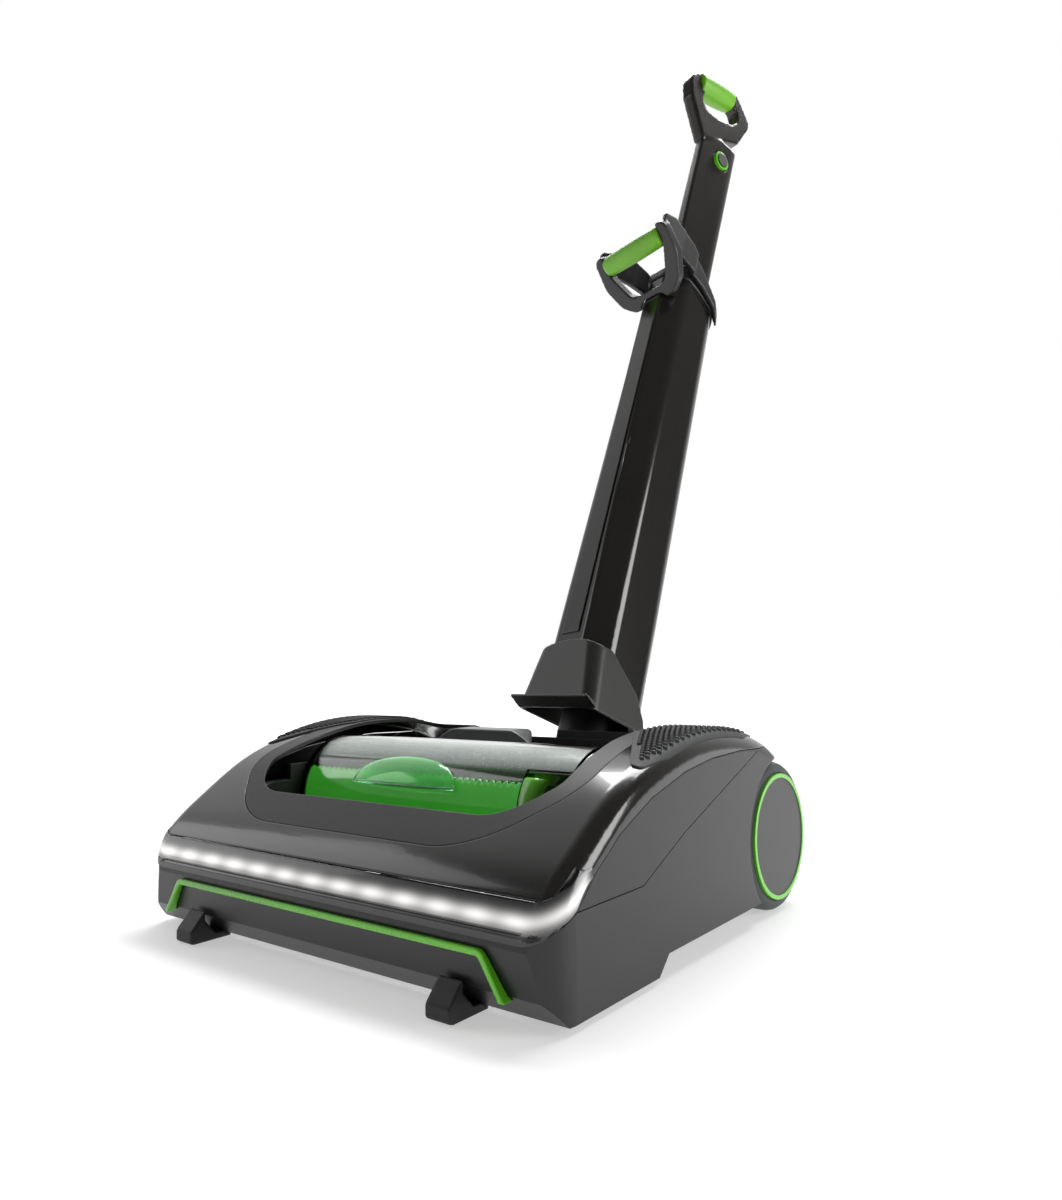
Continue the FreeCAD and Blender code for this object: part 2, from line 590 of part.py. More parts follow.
def body_edges(height, amount=0.0):
    """Section of the body at a height along its axis: narrow nose, wide rounded sides."""
    share = (height - 60.0) / 400.0
    half = 31.0 - 8.5 * share - amount
    front = -34.0 + 3.5 * share + amount
    rear = 35.0 - 1.5 * share - amount
    nose = half - 13.0
    return rounded([(-nose, front, 6 - amount), (nose, front, 6 - amount), (half, front + 17, 12 - amount),
                    (half, rear - 3, 14 - amount), (-half, rear - 3, 14 - amount),
                    (-half, front + 17, 12 - amount)])


def loft_body(name, amount, low, high):
    body = new_body(name)
    sections = [sketch_on(body, "XY_Plane", body_edges(height, amount), height) for height in (low, high)]
    feature = body.newObject("PartDesign::AdditiveLoft", "Loft")
    feature.Profile = sections[0]
    feature.Sections = [sections[1]]
    feature.Ruled = True
    return body


body_low = cell("body_low")
body_top = cell("body_top")
case_out = loft_body("case_out", 0.0, body_low - 30, body_top + 24)
case_in = loft_body("case_in", cell("body_wall"), body_low - 40, body_top + 34)
TOP_EDGE = [(-70, body_top + 20), (-20, body_top + 20), (0, body_top + 16), (17, body_top + 10),
            (34, body_top - 6), (70, body_top - 6)]
top_tool = yz_region("top_tool", TOP_EDGE + [(70, body_top + 90), (-70, body_top + 90)])
tail_tool = slab("tail_tool", "YZ_Plane", rounded([(-60, 20), (-60, cell("cowl_top") + 1),
                                                   (-20, cell("cowl_top") - 6), (14, body_low - 4),
                                                   (26, 40), (50, 40), (50, 20)]), 2 * FAR, both=True)
battery_gap = block("battery_gap", (-19.5, 14, 111), (19.5, 60, 188))
case_shell = cut("case_shell", case_out, case_in)
case_cut = cut("case_cut", case_shell, fuse("case_tools", tail_tool, battery_gap, top_tool))
floor_blank = common("floor_in", loft_body("floor_blank", cell("body_wall") + 0.06, 86, 104),
                     block("floor_zone", (-40, -40, 92), (40, 40, 96)))
floor_plate = cut("floor_plate", floor_blank, post("floor_hole", "stub_radius + fit_gap", 30, 0, 0, 80))
keep(case_cut, "body_shell", BODY_PLACE)
keep(floor_plate, "swivel_plate", BODY_PLACE)
keep(cut("swivel_ring_solid", post("ring_out", "stub_radius + 5", 6, 0, 0, 86),
         post("ring_in", "stub_radius + fit_gap", 8, 0, 0, 85)), "swivel_bearing", BODY_PLACE)

panel = loft_body("panel_blank", -1.2, 60, body_top + 4)
panel_zone = block("panel_zone", (-9, -60, 118), (9, -20, body_top - 2))
keep(cut("front_panel_solid", common("panel_in", panel, panel_zone), case_out), "front_panel", BODY_PLACE)


def ring_section(height, half_x, front, rear, radius):
    return height, rounded([(-half_x, front, radius), (half_x, front, radius), (half_x, rear, 3),
                            (-half_x, rear, 3)])


def loft_sections(name, sections):
    body = new_body(name)
    sketches = [sketch_on(body, "XY_Plane", edges, height) for height, edges in sections]
    feature = body.newObject("PartDesign::AdditiveLoft", "Loft")
    feature.Profile = sketches[0]
    feature.Sections = sketches[1:]
    feature.Ruled = True
    return body


cowl_out = loft_sections("cowl_out", [ring_section(40, 45.5, -38, 30, 9),
                                      ring_section(120, 30.5, -35.2, 30, 12)])
cowl_in = loft_sections("cowl_in", [ring_section(39, 43.3, -35.6, 34, 7),
                                    ring_section(121, 28.2, -32.8, 34, 10)])
COWL_SIDE = [(-60, 52), (-60, 125), (-14, 125), (-17.4, 105.6), (0.6, 90.2), (10.3, 81.5), (18, 66), (20, 56),
             (-14, 52), (-34, 52)]
COWL_FACE = [(-60, 63), (60, 53), (60, 92), (31, 106.5, 30), (0, 115.5, 90), (-31, 106.5, 30), (-60, 92)]
cowl_side = yz_region("cowl_side", COWL_SIDE)
cowl_face = slab("cowl_face", "XZ_Plane", rounded(COWL_FACE), 2 * FAR, both=True)
cowl_sides = common("cowl_sides", cut("cowl_wall", cowl_out, cowl_in), cowl_side)
cowl_wall = common("cowl_trim", cowl_sides, cowl_face)
COWL_LIP = [(-35.2, 61), (-46, 66.2), (-46.4, 68.2), (-36.2, 65.5)]
lip_strip = slab("cowl_lip", "YZ_Plane", rounded(COWL_LIP), 86.0, both=True)
lip_strip.Placement = FreeCAD.Placement(V3(0, 0, -4), FreeCAD.Rotation(V3(0, 1, 0), 4.76))
keep(cut("neck_cowl_solid", fuse("cowl_with_lip", cowl_wall, lip_strip), case_out), "neck_cowl", BODY_PLACE)

# battery at the rear of the body
cells = [post("cell_%d" % i, 9.0, 65, -9.3 + 18.6 * (i % 2), -1.2 + 18.8 * (i // 2), 117) for i in range(4)]
case_block = block("battery_block", (-19.2, -12, 112), (19.2, 27.6, 187))
case_hollow = block("battery_hollow", (-18.5, -10.6, 113.5), (18.5, 26.9, 185.5))
keep(cut("battery_case_solid", case_block, case_hollow), "battery_case", BODY_PLACE)
keep(group("cell_group", *cells), "battery_cells", BODY_PLACE)
door = common("door_in", loft_body("door_blank", -1.2, 60, body_top),
              block("door_zone", (-19.2, 27.6, 111.5), (19.2, 60, 187.5)))
latch_hole = block("latch_hole", (-7.2, 27.6, 169.8), (7.2, 60, 180.2))
keep(cut("battery_door_solid", door, latch_hole), "battery_door", BODY_PLACE)
keep(block("latch_block", (-7, 29.2, 170), (7, 34.4, 180)), "battery_latch", BODY_PLACE)

# collar that closes the body's top round the shaft


def shaft_section(amount):
    """Wedge section of the shaft: narrow nose, wider back."""
    nose, half = cell("shaft_nose") + amount, cell("shaft_half") + amount
    front, rear = cell("shaft_front") - amount, cell("shaft_rear") + amount
    return rounded([(-nose, front, 1.5 + amount), (nose, front, 1.5 + amount), (half, rear - 8, 20),
                    (half - 1.5, rear, 4), (1.5 - half, rear, 4), (-half, rear - 8, 20)])


COLLAR_TOP = [(-38, body_top + 26), (-12, body_top + 38), (14, body_top + 27), (35, body_top + 11)]
COLLAR_LOW = [(35, body_top - 5), (17.5, body_top + 10.5), (0, body_top + 16.5), (-20, body_top + 20.5),
              (-38, body_top + 20.5)]
collar_raw = common("collar_in", loft_body("collar_blank", -1.4, 400, body_top + 60),
                    yz_region("collar_zone", COLLAR_TOP + COLLAR_LOW))
collar_space = slab("collar_space", "XY_Plane", shaft_section(0.4), 400.0, offset=300.0)
collar_hollow = common("collar_hollow", loft_body("hollow_blank", 3.0, 400, body_top + 60),
                       yz_region("hollow_zone", [(u, v - 5) for u, v in COLLAR_TOP]
                                 + [(60, body_top - 40), (-60, body_top - 40)]))
keep(cut("body_collar_solid", collar_raw, fuse("collar_tools", collar_space, collar_hollow)),
     "body_collar", BODY_PLACE)

# carry handle: hoop tilted forward, with a strap back along each side of the collar
FORWARD = 53.0
RING_PLACE = FreeCAD.Placement(V3(0, -32, body_top - 3), FreeCAD.Rotation(V3(1, 0, 0), FORWARD))
HOOP_HALF = [(22, -6, 8), (34, 3, 14), (43, 24, 20), (42, 52, 7), (32.5, 53, 2), (32.5, 34, 12), (20, 6, 12)]
hoop = slab("hoop", "XZ_Plane", rounded(mirrored(HOOP_HALF)), 9.0, offset=-4.0, both=True)
hoop.Placement = RING_PLACE
STRAP = [(-76, body_top + 30), (-72, body_top + 40), (-56, body_top + 50), (-38, body_top + 52),
         (-21, body_top + 49.5), (-1, body_top + 36.5), (19, body_top + 18.5), (27, body_top + 6),
         (29, body_top - 4), (17.5, body_top + 10.5), (0, body_top + 20), (-22, body_top + 25),
         (-46, body_top + 24), (-62, body_top + 20)]
STRAP_PLAN = [(22, 40), (27, 40), (29, 0, 30), (33, -36, 30), (41, -70), (36.5, -70), (27.5, -36, 30),
              (23.6, 0, 30)]
strap_room = fuse("strap_room", loft_body("strap_limit", -6.0, 400, body_top + 70),
                  block("strap_front", (-60, -90, 400), (60, -14, 560)))
straps = []
for side in (-1, 1):
    pieces = [(side * p[0],) + tuple(p[1:]) for p in STRAP_PLAN]
    band = slab("strap_plan_%s" % ("left" if side < 0 else "right"), "XY_Plane", rounded(pieces), 160.0,
                offset=body_top - 40)
    band_side = common(band.Name + "_cut", band, yz_region(band.Name + "_side", STRAP))
    straps.append(common(band.Name + "_in", band_side, strap_room))
collar_form = loft_body("collar_form", -1.5, 400, body_top + 70)
handle_parts = fuse("carry_parts", hoop, *straps)
keep(cut("hoop_solid", handle_parts, collar_form), "carry_handle", BODY_PLACE)
grip_bar = rod("carry_grip_rod", 9.2, 64.8, -32.4, 3.5, 42)
keep(grip_bar, "carry_grip", BODY_PLACE.multiply(RING_PLACE))

# ---------------------------------------------------------------- handle

LOOP = [(-19.6, 664), (-47, 701, 10), (-53, 722, 14), (-44, 734, 8), (-2, 757.5, 30), (13, 760, 12),
        (36, 742, 8), (38, 734, 8), (27.4, 700)]
HOLE = [(-31, 708, 8), (-23, 700, 8), (-5, 705, 20), (14, 716, 8), (21, 728, 8), (15, 741, 5), (-30, 722, 5)]
shaft_out = slab("shaft_out", "XY_Plane", shaft_section(0.0), 490.0, offset=cell("shaft_low"))
shaft_top = yz_region("shaft_top", [(-60, 150), (-60, 664), (-19.6, 664), (27.4, 700), (60, 700), (60, 150)])
shaft_room = common("shaft_room", slab("shaft_core", "XY_Plane", shaft_section(-1.9), 500.0, offset=180.0),
                    yz_region("core_zone", [(-60, 170), (-60, 650), (60, 650), (60, 170)]))
button_pocket = rod("button_pocket", 9.5, 12, "shaft_half - 3.6", 8, 655)
shaft_form = common("shaft_form", shaft_out, shaft_top)
shaft_tools = fuse("shaft_tools", shaft_room, button_pocket)
keep(cut("shaft_solid", shaft_form, shaft_tools), "upper_shaft", BODY_PLACE)
loop = slab("loop_body", "YZ_Plane", rounded(LOOP), "2 * loop_half", both=True)
hole = slab("loop_hole", "YZ_Plane", rounded(HOLE), 60.0, both=True)
GRIP_FROM = V3(0, -37, 726)
GRIP_ALONG = V3(0, 46, 21.5).normalize()
GRIP_LENGTH = 50.0


def top_grip(name):
    """Rod along the loop's top bar."""
    obj = doc.addObject("Part::Cylinder", name)
    bind(obj, "Radius", "grip_radius + 1")
    obj.Height = GRIP_LENGTH
    obj.Placement = FreeCAD.Placement(GRIP_FROM, FreeCAD.Rotation(V3(0, 0, 1), GRIP_ALONG))
    return obj


keep(cut("loop_cut", cut("loop_frame", loop, hole), top_grip("grip_seat")), "handle_loop", BODY_PLACE)
keep(top_grip("grip_top_rod"), "handle_grip", BODY_PLACE)
keep(tube("button_ring", 9.4, 7.2, 4.2, "shaft_half - 3.6", 8, 655), "button_ring", BODY_PLACE)
keep(rod("button_cap", 7.0, 4.4, "shaft_half - 2.6", 8, 655), "power_button", BODY_PLACE)

# ---------------------------------------------------------------- checks and files

doc.recompute()
for obj in doc.Objects:
    if "Invalid" in obj.State or "Error" in obj.State:
        raise RuntimeError("%s has failed: %s" % (obj.Name, obj.State))
os.makedirs("parts", exist_ok=True)
for obj in NODES:
    shape = obj.Shape
    if shape.isNull() or not shape.isValid() or not shape.Solids:
        raise RuntimeError("%s is not a sound solid" % obj.Label)
for obj in NODES:
    obj.Shape.exportStep("parts/%s.step" % obj.Label)
    box = obj.Shape.BoundBox
    print("%-22s solids %2d volume %9.0f  x %7.1f %7.1f  y %7.1f %7.1f  z %7.1f %7.1f"
          % (obj.Label, len(obj.Shape.Solids), obj.Shape.Volume, box.XMin, box.XMax, box.YMin, box.YMax,
             box.ZMin, box.ZMax))
low = min(obj.Shape.BoundBox.YMin for obj in NODES)
high = max(obj.Shape.BoundBox.YMax for obj in NODES)
print("pieces %d, middle of the box along Y %.3f" % (len(NODES), (low + high) / 2))
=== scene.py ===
"""Looks of the cordless upright vacuum cleaner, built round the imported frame."""
import json
import math
import random

import bmesh
import bpy
from mathutils import Matrix, Vector

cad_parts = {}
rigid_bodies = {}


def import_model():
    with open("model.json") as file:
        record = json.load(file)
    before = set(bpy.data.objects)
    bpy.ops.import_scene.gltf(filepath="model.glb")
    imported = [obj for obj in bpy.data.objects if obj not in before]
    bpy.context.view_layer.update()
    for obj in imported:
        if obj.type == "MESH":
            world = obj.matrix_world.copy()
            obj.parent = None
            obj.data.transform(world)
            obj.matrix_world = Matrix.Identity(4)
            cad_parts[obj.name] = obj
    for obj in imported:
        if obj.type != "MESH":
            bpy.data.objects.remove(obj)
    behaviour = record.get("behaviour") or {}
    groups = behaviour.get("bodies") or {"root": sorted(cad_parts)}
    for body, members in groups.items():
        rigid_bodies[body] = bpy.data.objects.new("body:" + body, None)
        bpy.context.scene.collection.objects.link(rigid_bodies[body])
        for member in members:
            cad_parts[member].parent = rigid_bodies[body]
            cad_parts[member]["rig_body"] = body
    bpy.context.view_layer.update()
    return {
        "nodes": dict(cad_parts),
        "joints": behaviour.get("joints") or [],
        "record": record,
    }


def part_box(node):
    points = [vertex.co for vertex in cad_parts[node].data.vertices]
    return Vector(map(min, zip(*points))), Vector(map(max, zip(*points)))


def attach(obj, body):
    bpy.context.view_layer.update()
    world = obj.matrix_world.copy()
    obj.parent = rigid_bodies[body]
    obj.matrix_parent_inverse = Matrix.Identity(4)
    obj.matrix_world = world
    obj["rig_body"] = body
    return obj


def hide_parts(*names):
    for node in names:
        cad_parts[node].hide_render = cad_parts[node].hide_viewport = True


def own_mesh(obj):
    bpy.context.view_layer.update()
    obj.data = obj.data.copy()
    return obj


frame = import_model()
rng = random.Random(11)
NODES = frame["nodes"]

# ---------------------------------------------------------------- materials


class Shader:
    """A principled material with helpers for procedural detail in object space."""

    def __init__(self, name):
        self.material = bpy.data.materials.new(name)
        self.material.use_nodes = True
        self.tree = self.material.node_tree
        self.bsdf = self.tree.nodes["Principled BSDF"]
        self.coords = self.tree.nodes.new("ShaderNodeTexCoord")

    def node(self, kind, **values):
        made = self.tree.nodes.new(kind)
        for key, value in values.items():
            setattr(made, key, value)
        return made

    def link(self, source, target):
        self.tree.links.new(source, target)

    def noise(self, scale, detail=3.0, rough=0.55):
        made = self.node("ShaderNodeTexNoise")
        made.inputs["Scale"].default_value = scale
        made.inputs["Detail"].default_value = detail
        made.inputs["Roughness"].default_value = rough
        self.link(self.coords.outputs["Object"], made.inputs["Vector"])
        return made.outputs["Fac"]

    def spread(self, value, low, high, from_low=0.35, from_high=0.65):
        made = self.node("ShaderNodeMapRange")
        made.inputs["From Min"].default_value = from_low
        made.inputs["From Max"].default_value = from_high
        made.inputs["To Min"].default_value = low
        made.inputs["To Max"].default_value = high
        self.link(value, made.inputs["Value"])
        return made.outputs["Result"]

    def mix(self, factor, one, two):
        made = self.node("ShaderNodeMix", data_type="RGBA")
        for socket, value in ((made.inputs[6], one), (made.inputs[7], two)):
            if isinstance(value, tuple):
                socket.default_value = value
            else:
                self.link(value, socket)
        self.link(factor, made.inputs[0])
        return made.outputs[2]

    def worn_edges(self, radius):
        """1 on convex edges within the radius, 0 on flat areas."""
        bevel = self.node("ShaderNodeBevel", samples=4)
        bevel.inputs["Radius"].default_value = radius
        geometry = self.node("ShaderNodeNewGeometry")
        dot = self.node("ShaderNodeVectorMath", operation="DOT_PRODUCT")
        self.link(bevel.outputs["Normal"], dot.inputs[0])
        self.link(geometry.outputs["Normal"], dot.inputs[1])
        return self.spread(dot.outputs["Value"], 1.0, 0.0, 0.80, 0.995)

    def relief(self, height, strength, distance, round_edges=0.0):
        bump = self.node("ShaderNodeBump")
        bump.inputs["Strength"].default_value = strength
        bump.inputs["Distance"].default_value = distance
        self.link(height, bump.inputs["Height"])
        if round_edges:
            bevel = self.node("ShaderNodeBevel", samples=6)
            bevel.inputs["Radius"].default_value = round_edges
            self.link(bevel.outputs["Normal"], bump.inputs["Normal"])
        self.link(bump.outputs["Normal"], self.bsdf.inputs["Normal"])


def moulded(name, color, lift, rough, grain, grain_size, coat=0.0, edge=0.5, metallic=0.0):
    """Moulded plastic, rubber or metal: blotchy tone, grain, worn edges and a rounded edge normal."""
    shader = Shader(name)
    broad = shader.noise(9.0, 4.0)
    fine = shader.noise(grain_size, 3.0, 0.6)
    base = shader.mix(shader.spread(broad, 0.0, 1.0), tuple(c * 0.86 for c in color) + (1,),
                      tuple(c * 1.12 for c in color) + (1,))
    edges = shader.worn_edges(0.0009)
    faded = shader.node("ShaderNodeMath", operation="MULTIPLY")
    shader.link(edges, faded.inputs[0])
    faded.inputs[1].default_value = edge
    base = shader.mix(faded.outputs[0], base, tuple(c + lift for c in color) + (1,))
    shader.link(base, shader.bsdf.inputs["Base Color"])
    shader.link(shader.spread(fine, rough * 0.85, rough * 1.18), shader.bsdf.inputs["Roughness"])
    shader.bsdf.inputs["Metallic"].default_value = metallic
    shader.bsdf.inputs["Coat Weight"].default_value = coat
    shader.bsdf.inputs["Coat Roughness"].default_value = 0.04
    shader.relief(fine, grain, 0.0002, 0.0007)
    return shader.material


def clear_plastic(name, color, rough, transmission=1.0):
    """Clear moulded plastic with faint flow marks."""
    shader = Shader(name)
    flow = shader.noise(40.0, 2.0)
    tone = shader.mix(shader.spread(flow, 0.0, 1.0), tuple(c * 0.96 for c in color) + (1,), color + (1,))
    shader.link(tone, shader.bsdf.inputs["Base Color"])
    shader.bsdf.inputs["Transmission Weight"].default_value = transmission
    shader.bsdf.inputs["IOR"].default_value = 1.49
    shader.link(shader.spread(flow, rough, rough * 1.6), shader.bsdf.inputs["Roughness"])
    shader.relief(flow, 0.04, 0.0004)
    return shader.material


def glowing(name, color, strength):
    """Diffused light behind a lens, with a slow change of brightness."""
    shader = Shader(name)
    slow = shader.noise(14.0, 1.0)
    shader.bsdf.inputs["Base Color"].default_value = color + (1,)
    shader.bsdf.inputs["Emission Color"].default_value = color + (1,)
    pulse = shader.spread(slow, strength * 0.8, strength * 1.2)
    shader.link(pulse, shader.bsdf.inputs["Emission Strength"])
    shader.relief(slow, 0.05, 0.0002)
    return shader.material


GLOSS = moulded("gloss_black", (0.0085, 0.0075, 0.0065), 0.04, 0.16, 0.02, 900, coat=0.25, edge=0.25)
SATIN = moulded("satin_charcoal", (0.0090, 0.0094, 0.0090), 0.04, 0.36, 0.10, 2400, edge=0.35)
MATTE = moulded("matte_black", (0.0075, 0.0078, 0.0076), 0.04, 0.50, 0.16, 1800, edge=0.35)
SHAFT = moulded("shaft_brown_black", (0.0075, 0.0055, 0.0042), 0.03, 0.22, 0.03, 1400, coat=0.15, edge=0.3)
SMOKE = moulded("smoked_satin", (0.021, 0.0205, 0.0185), 0.06, 0.36, 0.10, 2400, edge=0.4)
LIME = moulded("lime_plastic", (0.12, 0.50, 0.015), 0.12, 0.26, 0.03, 1200, coat=0.3, edge=0.25)
LIME_GRIP = moulded("lime_grip", (0.125, 0.36, 0.010), 0.12, 0.42, 0.12, 2600, edge=0.25)
TYRE = moulded("tyre_grey", (0.036, 0.043, 0.045), 0.05, 0.55, 0.18, 2200, edge=0.4)
RUBBER = moulded("rubber_black", (0.016, 0.017, 0.018), 0.03, 0.60, 0.20, 2000, edge=0.3)
HUB = moulded("hub_satin", (0.023, 0.0235, 0.0225), 0.06, 0.40, 0.10, 2400, edge=0.4)
GREY = moulded("button_grey", (0.085, 0.088, 0.09), 0.10, 0.30, 0.06, 1800, edge=0.5)
STEEL = moulded("turned_steel", (0.52, 0.52, 0.53), 0.2, 0.28, 0.08, 1500, edge=0.3, metallic=1.0)
FOAM = moulded("foam_green", (0.05, 0.22, 0.02), 0.05, 0.9, 0.6, 700, edge=0.1)
NYLON = moulded("nylon_tufts", (0.02, 0.02, 0.022), 0.04, 0.5, 0.1, 1500, edge=0.2)
CELL = moulded("cell_wrap", (0.03, 0.12, 0.33), 0.1, 0.35, 0.05, 1200, edge=0.3)
BOARD = moulded("circuit_board", (0.01, 0.10, 0.03), 0.05, 0.4, 0.1, 1500, edge=0.2)
CLEAR = clear_plastic("clear_bin", (0.92, 0.97, 0.93), 0.03)
LENS = clear_plastic("smoked_lens", (0.20, 0.20, 0.21), 0.05)
GREEN_CLEAR = moulded("green_clear", (0.10, 0.72, 0.06), 0.1, 0.16, 0.02, 600, coat=0.5, edge=0.3)
green_bsdf = GREEN_CLEAR.node_tree.nodes["Principled BSDF"]
# painted glow: the green liner is no lamp, yet it emits a little light so it looks brightly lit
green_bsdf.inputs["Emission Color"].default_value = (0.10, 0.80, 0.06, 1)
green_bsdf.inputs["Emission Strength"].default_value = 0.22
# painted reflection: a grey metallic shell that stands in for the studio's reflection on the upper rear of
# the clear bin tube
REFLECTION_SHELL = moulded("painted_reflection_shroud", (0.30, 0.31, 0.31), 0.1, 0.24, 0.02, 900, coat=0.3, edge=0.3, metallic=0.6)
LIP_GREEN = clear_plastic("lip_green", (0.30, 0.95, 0.35), 0.06, 0.75)
LIP_EDGE = clear_plastic("lip_edge", (0.75, 0.98, 0.95), 0.04, 0.9)
LIGHT_FACE = moulded("light_face", (0.008, 0.008, 0.008), 0.02, 0.20, 0.02, 1200, coat=0.3, edge=0.1)
face_tree = LIGHT_FACE.node_tree
face_bsdf = face_tree.nodes["Principled BSDF"]
face_level = face_tree.nodes.new("ShaderNodeAttribute")
face_level.attribute_name = "glow"
face_bsdf.inputs["Emission Color"].default_value = (1.0, 0.985, 0.97, 1)
face_tree.links.new(face_level.outputs["Fac"], face_bsdf.inputs["Emission Strength"])
GLOW = glowing("led_glow", (1.0, 0.98, 0.97), 4.0)

FINISH = {
    "gloss_black": GLOSS, "satin_charcoal": SATIN, "matte_black": MATTE, "lime_plastic": LIME,
    "lime_grip": LIME_GRIP, "rubber_grey": TYRE, "hub_plastic": HUB, "clear_plastic": CLEAR, "foam": FOAM,
    "bristle": NYLON, "steel": STEEL, "roller_plastic": HUB, "cell_wrap": CELL, "circuit_board": BOARD}
OWN_FINISH = {"upper_shaft": SHAFT, "handle_loop": SHAFT, "neck_cowl": SMOKE, "grip_pads": RUBBER,
              "drive_belt": RUBBER, "light_lens": LENS, "bin_release_button": GREY, "led_board": GLOW}

for part in frame["record"]["subparts"]:
    node = NODES[part["node"]]
    finish = OWN_FINISH.get(part["node"], FINISH[part["material_slot"]])
    node.data.materials.clear()
    node.data.materials.append(finish)

# ---------------------------------------------------------------- mesh helpers


def mesh_piece(name, body, material, verts, faces, smooth=True):
    """New piece from points and faces, riding on a body."""
    mesh = bpy.data.meshes.new(name)
    mesh.from_pydata([tuple(v) for v in verts], [], faces)
    mesh.validate()
    mesh.update()
    mesh.materials.append(material)
    if smooth:
        mesh.shade_smooth()
    piece = bpy.data.objects.new(name, mesh)
    bpy.context.scene.collection.objects.link(piece)
    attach(piece, body)
    return piece


def turned(name, body, material, origin, axis, profile, steps=96, closed=True):
    """Lathe: profile of (along, radius) points in metres about an axis through origin."""
    axis = Vector(axis).normalized()
    side = axis.orthogonal().normalized()
    other = axis.cross(side)
    verts, faces = [], []
    for i in range(steps):
        turn = 2 * math.pi * i / steps
        out = side * math.cos(turn) + other * math.sin(turn)
        verts += [Vector(origin) + axis * along + out * radius for along, radius in profile]
    count = len(profile)
    spans = count if closed else count - 1
    for i in range(steps):
        for k in range(spans):
            a, b = i * count + k, i * count + (k + 1) % count
            c, d = ((i + 1) % steps) * count + (k + 1) % count, ((i + 1) % steps) * count + k
            faces.append((a, b, c, d))
    return mesh_piece(name, body, material, verts, faces)


def softened(nodes, voxel, rounds, material):
    """Copy of CAD nodes with their corners eased by remeshing, shown in their place."""
    form = bmesh.new()
    for node in nodes:
        form.from_mesh(NODES[node].data)
    mesh = bpy.data.meshes.new(nodes[0] + "_copy")
    form.to_mesh(mesh)
    form.free()
    piece = bpy.data.objects.new(nodes[-1] + "_eased", mesh)
    bpy.context.scene.collection.objects.link(piece)
    remesh = piece.modifiers.new("remesh", "REMESH")
    remesh.mode = "VOXEL"
    remesh.voxel_size = voxel
    ease = piece.modifiers.new("ease", "SMOOTH")
    ease.factor = 0.5
    ease.iterations = rounds
    graph = bpy.context.evaluated_depsgraph_get()
    done = bpy.data.meshes.new_from_object(piece.evaluated_get(graph))
    piece.modifiers.clear()
    piece.data = done
    done.materials.clear()
    done.materials.append(material)
    done.shade_smooth()
    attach(piece, NODES[nodes[0]]["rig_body"])
    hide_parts(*nodes)
    return piece


def strand(name, body, material, points, radius, closed=False):
    """Round bar or bead along points."""
    curve = bpy.data.curves.new(name, "CURVE")
    curve.dimensions = "3D"
    curve.bevel_depth = radius
    curve.bevel_resolution = 3
    curve.use_fill_caps = True
    line = curve.splines.new("POLY")
    line.points.add(len(points) - 1)
    for target, point in zip(line.points, points):
        target.co = (*point, 1.0)
    line.use_cyclic_u = closed
    drawn = bpy.data.objects.new(name + "_curve", curve)
    bpy.context.scene.collection.objects.link(drawn)
    graph = bpy.context.evaluated_depsgraph_get()
    mesh = bpy.data.meshes.new_from_object(drawn.evaluated_get(graph))
    bpy.data.objects.remove(drawn)
    mesh.materials.clear()
    mesh.materials.append(material)
    mesh.shade_smooth()
    piece = bpy.data.objects.new(name, mesh)
    bpy.context.scene.collection.objects.link(piece)
    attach(piece, body)
    return piece


# ---------------------------------------------------------------- eased castings

for node, voxel, rounds, finish, slot in (
        ("carry_handle", 0.0009, 6, SATIN, "matte_black"),
        ("neck_cowl", 0.0008, 2, SMOKE, "satin_charcoal"),
        ("body_collar", 0.0008, 2, SATIN, "satin_charcoal"),
        ("front_feet", 0.0008, 2, MATTE, "matte_black"),
        ("bin_release_button", 0.0008, 4, GREY, "hub_plastic"),
        ("front_trim", 0.0004, 6, LIME, "lime_plastic")):
    softened((node,), voxel, rounds, finish)
softened(("upper_shaft", "handle_loop"), 0.0011, 9, SHAFT)

# ---------------------------------------------------------------- wheels

for side, name in ((-1, "left"), (1, "right")):
    low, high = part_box("wheel_tyre_" + name)
    hub_low, hub_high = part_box("wheel_hub_" + name)
    centre = (low + high) / 2
    wide = high.x - low.x
    radius = (high.z - low.z) / 2
    inner = (hub_high.z - hub_low.z) / 2
    start = Vector((low.x if side > 0 else high.x, centre.y, centre.z))
    tread = [(0.0, inner), (0.0004, radius - 0.006), (0.0016, radius - 0.0025),
             (0.004, radius - 0.0006), (0.007, radius), (wide - 0.006, radius),
             (wide - 0.0035, radius - 0.0006), (wide - 0.0014, radius - 0.0022),
             (wide - 0.0004, radius - 0.0050), (wide, inner)]
    tyre = turned("tyre_" + name, "wheel_" + name, TYRE, start, (side, 0, 0), tread, steps=128)
    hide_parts("wheel_tyre_" + name)

# ---------------------------------------------------------------- bin

tube_low, tube_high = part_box("bin_tube")
AXIS_Y = (tube_low.y + tube_high.y) / 2
AXIS_Z = (tube_low.z + tube_high.z) / 2
TUBE = (tube_high.y - tube_low.y) / 2
CAP_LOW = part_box("bin_end_cap")[0].x
SHELL_STEP = 0.0016
INSET = 0.004


